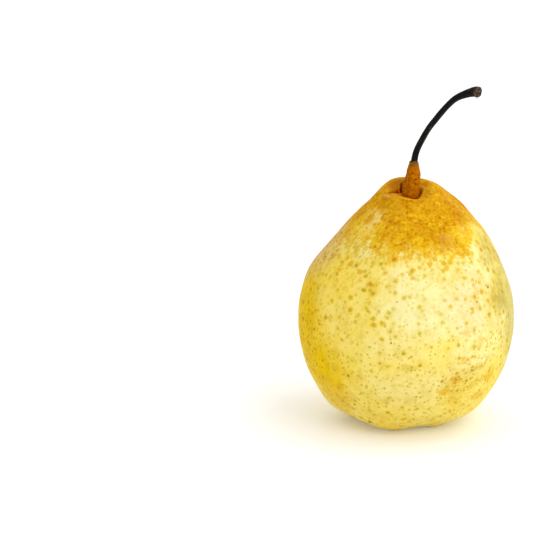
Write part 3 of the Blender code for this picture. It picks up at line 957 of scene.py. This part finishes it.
def lay_dots(tree, place, height, colour):
    """Olive and ochre dots over the ground. Returns the colour and where the dots are."""
    radius = spread(tree, height, 26.0, 54.0, 0.42, 0.60)
    near, chance = dotted(tree, place, DOT_SPACING, radius, 0.30, 1.1)
    tint = blend_colours(tree, spread(tree, height, 30.0, 52.0), OLIVE_TINT, OCHRE_TINT)
    tint = blend_colours(tree, spread(tree, chance, 0.86, 0.96, 0.0, 0.5), tint, ORANGE_TINT)
    halo, _ = dotted(tree, place, DOT_SPACING, calculate(tree, "ADD", radius, HALO_WIDTH), 0.75, 0.8)
    colour = tinted(tree, colour, halo, 0.75, HALO_TINT)
    colour = tinted(tree, colour, both(tree, near, spread(tree, chance, 0.0, 1.0, 0.40, 1.0)), 0.95, tint)
    fine, _ = dotted(tree, shifted(tree, place, (3.1, 7.7, 1.9)), 1.5, 0.34, 0.18, 1.0)
    colour = tinted(tree, colour, both(tree, fine, spread(tree, height, 30.0, 50.0, 0.80, 0.40)), 1.0, OLIVE_TINT)
    low_right, left = [patched(tree, place, *where) for where in CROWDS]
    crowded, _ = dotted(tree, shifted(tree, place, (-4.4, 1.3, 6.1)), 1.75, 0.40, 0.19, 0.9)
    crowded = both(tree, crowded, calculate(tree, "MAXIMUM", low_right, left))
    colour = tinted(tree, colour, crowded, 0.95, BROWN_TINT)
    return colour, calculate(tree, "MAXIMUM", near, crowded)


def russet_edge(tree, place, height):
    """A height that wanders, so that russet above a level of it has a ragged lower edge."""
    wander = calculate(tree, "SUBTRACT", cloudy(tree, place, 8.0, 3.0, 0.6), 0.5)
    edge = calculate(tree, "MULTIPLY_ADD", wander, 12.0, height)
    for rise, *where in EDGE_RISES:
        edge = calculate(tree, "MULTIPLY_ADD", patched(tree, place, *where), rise, edge)
    return edge


def lay_russet(tree, place, slope, height, colour, edge):
    """Golden russet over the shoulders: orange dots low down, then loose patches, then a mottled golden cap.

    Returns the colour, where the russet is and where the cap is.
    """
    fine = cloudy(tree, place, 1.2, 4.0, 0.65)
    middling = cloudy(tree, slope, 4.2, 4.0, 0.66)
    loose = calculate(tree, "MULTIPLY_ADD", fine, 1.15, calculate(tree, "MULTIPLY", middling, 1.05))
    level = calculate(tree, "ADD", loose, spread(tree, edge, 53.0, 81.0, -0.50, 0.95))
    large, chance = dotted(tree, place, 2.9, spread(tree, edge, 46.0, 66.0, 0.25, 0.95), 0.32, 1.1)
    spots = both(tree, large, spread(tree, edge, 44.0, 60.0, 0.0, 0.85))
    spot_tint = blend_colours(tree, spread(tree, chance, 0.70, 0.95), (0.82, 0.67, 0.15), (0.86, 0.56, 0.06))
    colour = tinted(tree, colour, spots, 1.0, spot_tint)
    cap = spread(tree, level, 1.00, 1.36)
    gold = blend_colours(tree, spread(tree, level, 1.40, 1.95), PALE_GOLD, GOLD)
    colour = overlay(tree, colour, cap, 0.94, gold)

    mottled = both(tree, cap, spread(tree, height, 74.0, 80.5, 1.0, 0.55))
    lights = spread(tree, cloudy(tree, place, 0.9, 5.0, 0.78), 0.48, 0.60)
    colour = overlay(tree, colour, both(tree, lights, mottled), 0.80, (0.80, 0.48, 0.008))
    clouds = spread(tree, cloudy(tree, place, 6.0, 5.0, 0.68), 0.45, 0.57)
    colour = tinted(tree, colour, both(tree, clouds, cap), 0.85, (0.84, 0.70, 0.25))
    pale = cloudy(tree, shifted(tree, place, (-7.3, 2.2, 5.9)), 3.4, 5.0, 0.70)
    colour = overlay(tree, colour, both(tree, spread(tree, pale, 0.50, 0.66), cap), 0.60, (0.82, 0.51, 0.01))
    crumbs = cloudy(tree, shifted(tree, place, (9.1, 4.7, -8.3)), 1.0, 5.0, 0.78)
    colour = tinted(tree, colour, both(tree, spread(tree, crumbs, 0.48, 0.60), mottled), 0.90, (0.78, 0.65, 0.25))
    net, chance = dotted(tree, shifted(tree, place, (6.6, -3.2, 2.7)), 1.35, 0.42, 0.26, 1.0)
    net = both(tree, both(tree, net, spread(tree, chance, 0.2, 1.0, 0.0, 0.85)), cap)
    return tinted(tree, colour, net, 1.0, (0.76, 0.54, 0.20)), calculate(tree, "MAXIMUM", spots, cap), fine


def lay_streaks(tree, place, slope, colour, fine):
    """Broken streaks of cream and of deeper gold that run down the shoulders, and a painted highlight on the cavity's
    lip.
    """
    thin = calculate(tree, "MULTIPLY", fine, 0.25)
    thin = calculate(tree, "MULTIPLY_ADD", cloudy(tree, slope, 3.6, 4.0, 0.64), 0.45, thin)
    thin = calculate(tree, "MULTIPLY_ADD", cloudy(tree, place, 2.4, 4.0, 0.66), 0.30, thin)
    thin = spread(tree, thin, 0.470, 0.560)
    for share, middle, reach in CREAM_STREAKS:
        mask = patched(tree, place, middle, reach, 0.9, 3.5)
        colour = overlay(tree, colour, both(tree, mask, thin), share, STREAK_CREAM)
    for middle, reach in DARK_STREAKS:
        colour = overlay(tree, colour, patched(tree, place, middle, reach, 1.1, 1.8), 0.70, DARK_STREAK)
    # painted highlight: a thin pale line where the lip's edge catches the light
    lip_highlight = patched(tree, place, (-7.9, -4.9, 80.1), (4.4, 2.8, 0.55), 1.6, 0.9)
    return overlay(tree, colour, lip_highlight, 0.28, (0.80, 0.58, 0.16))


def lay_band(tree, place, slope, colour):
    """The tan band with dark specks high on the left side."""
    band = patched(tree, place, (-30.0, 3.0, 63.0), (16.0, 20.0, 18.0), 0.8, 3.0)
    streaks = spread(tree, cloudy(tree, slope, 1.1, 4.0, 0.68), 0.40, 0.62, 0.45, 1.0)
    colour = overlay(tree, colour, both(tree, band, streaks), 0.88, BAND_TAN)
    pale = spread(tree, cloudy(tree, slope, 2.4, 4.0, 0.72), 0.49, 0.60)
    colour = overlay(tree, colour, both(tree, pale, band), 0.55, (0.74, 0.54, 0.20))
    specks, _ = dotted(tree, shifted(tree, place, (2.7, 8.1, -4.6)), 1.8, 0.52, 0.26, 1.2)
    return tinted(tree, colour, both(tree, specks, band), 1.0, (0.66, 0.49, 0.28))


def lay_bruise(tree, place, colour):
    """A brown smear low in the cap, and beside it a bruise, pinkish in some clouds and dark in others."""
    smear = patched(tree, place, (-7.6, -20.0, 69.4), (4.6, 6.0, 3.2), 1.6, 2.0)
    colour = tinted(tree, colour, smear, 0.80, (0.91, 0.76, 0.60))
    bruise = patched(tree, place, (11.6, -21.6, 67.2), (4.8, 5.0, 5.2), 1.9, 2.6)
    clouds = cloudy(tree, place, 1.5, 5.0, 0.74)
    colour = overlay(tree, colour, both(tree, bruise, spread(tree, clouds, 0.42, 0.58)), 0.65, BRUISE)
    return tinted(tree, colour, both(tree, bruise, spread(tree, clouds, 0.50, 0.38)), 0.9, (0.80, 0.68, 0.60))


def lay_cavity(tree, place, colour, height, on_sleeve):
    """Deep orange down the cavity, partly painted shade of the recess, a red line of painted shade in its crease,
    and the brown, dotted sleeve up to the stem.
    """
    # deeper orange down the cavity: partly its own russet and partly painted shade of the recess
    colour = overlay(tree, colour, spread(tree, attribute(tree, "cavity_russet_and_shade"), 0.0, 0.9), 0.88, CAVITY_ORANGE_AND_SHADE)
    clouds = cloudy(tree, place, 0.9, 4.0, 0.68)
    sleeve = blend_colours(tree, spread(tree, clouds, 0.38, 0.66), SLEEVE_ORANGE, SLEEVE_LIGHT)
    spots, _ = dotted(tree, place, 1.15, 0.27, 0.12, 1.1)
    sleeve = tinted(tree, sleeve, spots, 0.85, (0.30, 0.12, 0.1))
    folds = spread(tree, cloudy(tree, times(tree, place, (1.0, 1.0, 0.35)), 0.9, 3.0, 0.6), 0.52, 0.66)
    sleeve = tinted(tree, sleeve, folds, 0.60, (0.68, 0.50, 0.2))
    tip = spread(tree, calculate(tree, "MULTIPLY_ADD", clouds, 4.5, height), 90.8, 93.6)
    sleeve = overlay(tree, sleeve, tip, 0.85, SLEEVE_TIP)
    colour = overlay(tree, colour, on_sleeve, 0.97, sleeve)
    # painted shade: the dark red line in the crease, the fold and the furrow, and round the sleeve's front foot
    return overlay(tree, colour, attribute(tree, "crease"), 0.88, CREASE_SHADE_RED)


def skin_material():
    """Thin waxy skin: yellow ground, russet shoulders, dots all over, stains, painted light and shade, a few specks.
    """
    material, tree, shader = new_material("waxy dotted pear skin")
    place = place_in_mm(tree)
    height = add(tree, "ShaderNodeSeparateXYZ", {0: place}).outputs[2]
    slope = down_the_slope(tree, place)
    on_sleeve = attribute(tree, "sleeve")
    colour = lay_ground(tree, place, slope)
    # stains, and painted light and shade, laid over the ground
    for tint, share, *where in STAINS_AND_PAINTED_LIGHT_AND_SHADE:
        colour = tinted(tree, colour, patched(tree, place, *where), share, tint)
    colour, dots = lay_dots(tree, place, height, colour)
    edge = russet_edge(tree, place, height)
    colour, russet, fine = lay_russet(tree, place, slope, height, colour, edge)
    colour = lay_streaks(tree, place, slope, colour, fine)
    colour = lay_band(tree, place, slope, colour)
    colour = lay_bruise(tree, place, colour)
    for tint, share, middle, size in MARKS:
        mark = use_group(tree, MARK, {"Place": place, "Middle": middle, "Reach": size})["Mask"]
        colour = tinted(tree, colour, mark, share, tint)
    specks, _ = dotted(tree, place, 8.0, 0.22, 0.09, 0.8)
    colour = tinted(tree, colour, specks, 0.80, BLACK_TINT)
    colour = lay_cavity(tree, place, colour, height, on_sleeve)
    around_calyx = patched(tree, place, (0.0, 0.0, 7.0), (15.0, 15.0, 9.0), 0.8, 2.5)
    colour = overlay(tree, colour, around_calyx, 0.75, BASIN_BROWN)
    tree.links.new(colour, shader["Base Color"])

    roughness = spread(tree, cloudy(tree, place, 9.0, 3.0, 0.6), 0.3, 0.7, 0.38, 0.48)
    roughness = calculate(tree, "MULTIPLY_ADD", russet, 0.10, roughness)
    roughness = calculate(tree, "MULTIPLY_ADD", on_sleeve, 0.08, roughness)
    tree.links.new(roughness, shader["Roughness"])
    raised = calculate(tree, "MULTIPLY_ADD", russet, 0.35, calculate(tree, "MULTIPLY", dots, 0.45))
    raised = calculate(tree, "MULTIPLY_ADD", cloudy(tree, place, 0.6, 3.0, 0.6), 0.50, raised)
    relief(tree, shader, raised, 0.7, 0.0001)
    shader["IOR"].default_value = 1.42
    shader["Specular IOR Level"].default_value = 0.025
    shader["Specular Tint"].default_value = (1.0, 0.88, 0.5, 1.0)
    shader["Subsurface Weight"].default_value = 0.10
    shader["Subsurface Radius"].default_value = (1.0, 0.5, 0.12)
    shader["Subsurface Scale"].default_value = 0.0015
    return material


def bark_material():
    """Dried black bark: lengthwise streaks of grey green over near-black, brown on the cut end."""
    material, tree, shader = new_material("dried black stem bark")
    straight = attribute(tree, "straight", "Vector")
    drawn = times(tree, straight, (1.0, 1.0, 0.16))
    streaks = spread(tree, cloudy(tree, drawn, 0.42, 4.0, 0.65), 0.50, 0.78)
    colour = blend_colours(tree, streaks, (0.003, 0.0026, 0.002), (0.030, 0.032, 0.020))
    patches = spread(tree, cloudy(tree, straight, 2.4, 3.0, 0.6), 0.55, 0.80, 0.0, 0.5)
    colour = blend_colours(tree, patches, colour, (0.018, 0.011, 0.006))
    along = add(tree, "ShaderNodeSeparateXYZ", {0: straight}).outputs[2]
    stations = stem_stations()
    length = sum((after[0] - before[0]).length for before, after in zip(stations, stations[1:]))
    near_end = spread(tree, along, length - 2.6, length + 0.1)
    colour = overlay(tree, colour, near_end, 0.55, (0.022, 0.009, 0.006))
    wood = spread(tree, cloudy(tree, place_in_mm(tree), 0.75, 4.0, 0.7), 0.40, 0.62)
    wood = blend_colours(tree, wood, (0.013, 0.007, 0.005), (0.13, 0.078, 0.045))
    colour = overlay(tree, colour, spread(tree, along, length - 0.1, length + 0.3), 0.95, wood)
    tree.links.new(colour, shader["Base Color"])
    grain = cloudy(tree, drawn, 0.22, 3.0, 0.6)
    tree.links.new(spread(tree, grain, 0.3, 0.7, 0.40, 0.62), shader["Roughness"])
    relief(tree, shader, grain, 0.7, 0.00012)
    shader["Specular IOR Level"].default_value = 0.09
    return material


def cork_material():
    """Dry corky remnant of the flower."""
    material, tree, shader = new_material("dry corky calyx")
    place = place_in_mm(tree)
    clouds = spread(tree, cloudy(tree, place, 0.8, 4.0, 0.7), 0.3, 0.7)
    colour = blend_colours(tree, clouds, (0.035, 0.020, 0.010), (0.20, 0.115, 0.055))
    tree.links.new(colour, shader["Base Color"])
    grain = cloudy(tree, place, 0.3, 3.0, 0.6)
    tree.links.new(spread(tree, grain, 0.3, 0.7, 0.75, 0.95), shader["Roughness"])
    relief(tree, shader, grain, 0.8, 0.00015)
    return material


def fibre_material():
    material, tree, shader = new_material("torn stem fibre")
    clouds = cloudy(tree, place_in_mm(tree), 0.3, 2.0, 0.5)
    tree.links.new(blend_colours(tree, clouds, (0.05, 0.035, 0.02), (0.16, 0.11, 0.06)), shader["Base Color"])
    shader["Roughness"].default_value = 0.8
    return material


def floor_material():
    material, tree, shader = new_material("plain white studio floor")
    clouds = cloudy(tree, place_in_mm(tree), 60.0, 2.0, 0.5)
    tree.links.new(blend_colours(tree, clouds, (0.90, 0.90, 0.895), (0.92, 0.92, 0.915)), shader["Base Color"])
    shader["Roughness"].default_value = 0.6
    shader["Specular IOR Level"].default_value = 0.1
    shader["Emission Color"].default_value = (0.98, 0.99, 1.0, 1.0)
    shader["Emission Strength"].default_value = FLOOR_GLOW
    return material


# The studio: the room's light in front and behind, and the two lamps

ROOM_LIGHT = (0.62, 1.0)
FLOOR_GLOW = 0.13
KEY_WATTS = 4.8
TOP_WATTS = 2.3


def make_floor():
    mesh = bmesh.new()
    bmesh.ops.create_grid(mesh, x_segments=8, y_segments=8, size=2500.0)
    bmesh.ops.translate(mesh, vec=(0.0, 0.0, -0.02), verts=mesh.verts)
    floor = mesh_object("studio_floor", mesh, floor_material())


def make_light(name, position, aim, width, height, watts, colour):
    data = bpy.data.lights.new(name, "AREA")
    data.shape = "RECTANGLE"
    data.size = width
    data.size_y = height
    data.energy = watts
    data.color = colour
    light = bpy.data.objects.new(name, data)
    light.location = position
    light.rotation_euler = (Vector(aim) - Vector(position)).to_track_quat("-Z", "Y").to_euler()
    bpy.context.scene.collection.objects.link(light)


def make_studio():
    make_floor()
    world = bpy.data.worlds.new("white studio")
    world.use_nodes = True
    tree = world.node_tree
    background = tree.nodes["Background"]
    way = add(tree, "ShaderNodeTexCoord").outputs["Generated"]
    up_and_back = vector(tree, "DOT_PRODUCT", way, (0.36, 0.69, 0.62))
    tree.links.new(spread(tree, up_and_back, -0.6, 0.6, *ROOM_LIGHT), background.inputs["Strength"])
    background.inputs["Color"].default_value = (1.0, 1.0, 1.0, 1.0)
    bpy.context.scene.world = world
    make_light("soft_key", (0.62, -0.86, 0.66), (0.0, 0.0, 0.04), 0.75, 0.75, KEY_WATTS, (1.0, 0.985, 0.96))
    make_light("top_fill", (0.50, 0.05, 1.05), (0.0, 0.0, 0.0), 0.7, 0.7, TOP_WATTS, (1.0, 1.0, 1.0))
    bpy.context.scene.view_settings.view_transform = "Standard"
    bpy.context.scene.view_settings.look = "None"


def make_camera():
    data = bpy.data.cameras.new("photo_camera")
    data.lens = 154.38
    data.sensor_width = 36.0
    data.clip_start = 0.01
    data.clip_end = 20.0
    camera = bpy.data.objects.new("photo_camera", data)
    camera.location = (-0.04865, -0.76354, 0.24448)
    camera.rotation_euler = Euler((math.radians(76.0), 0.0, 0.0))
    bpy.context.scene.collection.objects.link(camera)
    bpy.context.scene.camera = camera


def main():
    make_camera()
    make_patch_group()
    make_dots_group()
    make_mark_group()
    skin = make_skin(skin_material())
    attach(skin, "root")
    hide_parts("fruit")
    stem = make_stem(bark_material())
    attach(stem, "root")
    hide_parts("stem")
    fibres = make_fibres(fibre_material())
    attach(fibres, "root")
    calyx = make_calyx(cork_material())
    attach(calyx, "root")
    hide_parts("calyx")
    make_studio()


main()
